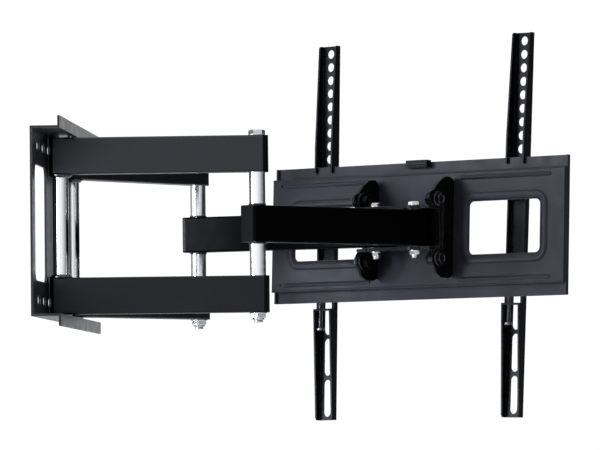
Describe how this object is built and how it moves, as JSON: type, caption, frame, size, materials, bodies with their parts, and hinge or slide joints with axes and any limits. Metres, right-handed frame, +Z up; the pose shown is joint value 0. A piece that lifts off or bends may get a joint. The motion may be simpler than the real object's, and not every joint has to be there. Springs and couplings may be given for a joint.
{
  "type": "full motion TV wall mount",
  "caption": "Full motion TV wall mount: wall plate with pairs of hinged arms, a swivel bracket, a tilting screen plate and sliding brackets.",
  "frame": {"origin": "centre of the wall plate's back face, where it rests on the wall", "axes": "+Z up, +Y out of the plate's back into the wall, -Y the way the arms reach into the room, +X to the right of someone facing the wall"},
  "size_m": [0.4852, 0.5677, 0.4263],
  "materials": {
    "coated_plate": "satin black powder coat, fine texture",
    "coated_tube": "satin black powder coat, smooth",
    "coated_bracket": "satin black powder coat, fine texture",
    "spacer_steel": "bright satin",
    "fastener_zinc": "bright zinc",
    "fastener_black": "black zinc",
    "black_plastic": "matte",
    "vial_glass": "clear tinted"
  },
  "bodies": {
    "base": {"wall_plate": "coated_plate", "near_wall_pin": "fastener_zinc", "far_wall_pin": "fastener_zinc", "wall_thrust_washers": "fastener_zinc"},
    "near_arm": {"near_upper_beam": "coated_tube", "near_lower_beam": "coated_tube", "near_wall_spacer": "spacer_steel", "near_wall_bushes": "black_plastic", "near_elbow_bolt": "fastener_zinc", "near_elbow_nut": "fastener_zinc", "near_elbow_spacers": "spacer_steel", "near_elbow_washers": "black_plastic", "near_beam_caps": "black_plastic"},
    "near_forearm_body": {"near_forearm": "coated_tube", "near_forearm_sleeves": "spacer_steel", "near_forearm_caps": "black_plastic"},
    "head": {"swivel_bracket": "coated_plate", "head_bolts": "fastener_zinc", "head_nuts": "fastener_zinc", "head_washers": "black_plastic", "tilt_bolts": "fastener_black", "tilt_nuts": "fastener_black"},
    "screen": {"screen_plate": "coated_plate", "left_cheek": "coated_plate", "right_cheek": "coated_plate", "level_body": "black_plastic", "level_vial": "vial_glass"},
    "left_slider": {"left_bracket": "coated_bracket"},
    "right_slider": {"right_bracket": "coated_bracket"},
    "left_screw": {"left_lock_screw": "fastener_zinc"},
    "right_screw": {"right_lock_screw": "fastener_zinc"},
    "far_arm": {"far_upper_beam": "coated_tube", "far_lower_beam": "coated_tube", "far_wall_spacer": "spacer_steel", "far_wall_bushes": "black_plastic", "far_elbow_bolt": "fastener_zinc", "far_elbow_nut": "fastener_zinc", "far_elbow_spacers": "spacer_steel", "far_elbow_washers": "black_plastic", "far_beam_caps": "black_plastic"},
    "far_forearm_body": {"far_forearm": "coated_tube", "far_forearm_sleeves": "spacer_steel", "far_forearm_caps": "black_plastic"}
  },
  "joints": [
    {"name": "near_wall_pivot", "type": "hinge", "parent": "base", "child": "near_arm", "pos_m": [-0.055, -0.016, 0], "axis": [0, 0, 1], "range_deg": [-60, 12]},
    {"name": "near_elbow", "type": "hinge", "parent": "near_arm", "child": "near_forearm_body", "pos_m": [-0.055, -0.23, 0], "axis": [0, 0, 1], "range_deg": [-7.29, 36.44]},
    {"name": "near_head_pivot", "type": "hinge", "parent": "near_forearm_body", "child": "head", "pos_m": [0.10269, -0.39329, 0], "axis": [0, 0, 1], "range_deg": [-73.06, 14.62]},
    {"name": "far_wall_pivot", "type": "hinge", "parent": "base", "child": "far_arm", "pos_m": [0.055, -0.016, 0], "axis": [0, 0, 1], "range_deg": [-54.18, 10.84]},
    {"name": "far_elbow", "type": "hinge", "parent": "far_arm", "child": "far_forearm_body", "pos_m": [0.22814, -0.14177, 0], "axis": [0, 0, 1], "range_deg": [-5.55, 27.73]},
    {"name": "tilt", "type": "hinge", "parent": "head", "child": "screen", "pos_m": [0.12451, -0.37516, -0.0345], "axis": [0.5878, 0.809, 0], "range_deg": [-7.5, 7.5]},
    {"name": "left_bracket_slide", "type": "slide", "parent": "screen", "child": "left_slider", "axis": [0.5878, 0.809, 0], "range_m": [-0.0385, 0.05]},
    {"name": "right_bracket_slide", "type": "slide", "parent": "screen", "child": "right_slider", "axis": [-0.5878, -0.809, 0], "range_m": [-0.0385, 0.05]},
    {"name": "left_lock", "type": "slide", "parent": "left_slider", "child": "left_screw", "axis": [0.0404, -0.0186, 0.999], "range_m": [-0.008, 0]},
    {"name": "right_lock", "type": "slide", "parent": "right_slider", "child": "right_screw", "axis": [0.024, -0.0412, 0.9989], "range_m": [-0.008, 0]}
  ],
  "couplings": [
    {"joint": "near_elbow", "follows": "near_wall_pivot", "ratio": -0.6071},
    {"joint": "near_head_pivot", "follows": "near_wall_pivot", "ratio": 1.2175},
    {"joint": "far_wall_pivot", "follows": "near_wall_pivot", "ratio": 0.9028},
    {"joint": "far_elbow", "follows": "near_wall_pivot", "ratio": -0.462}
  ]
}
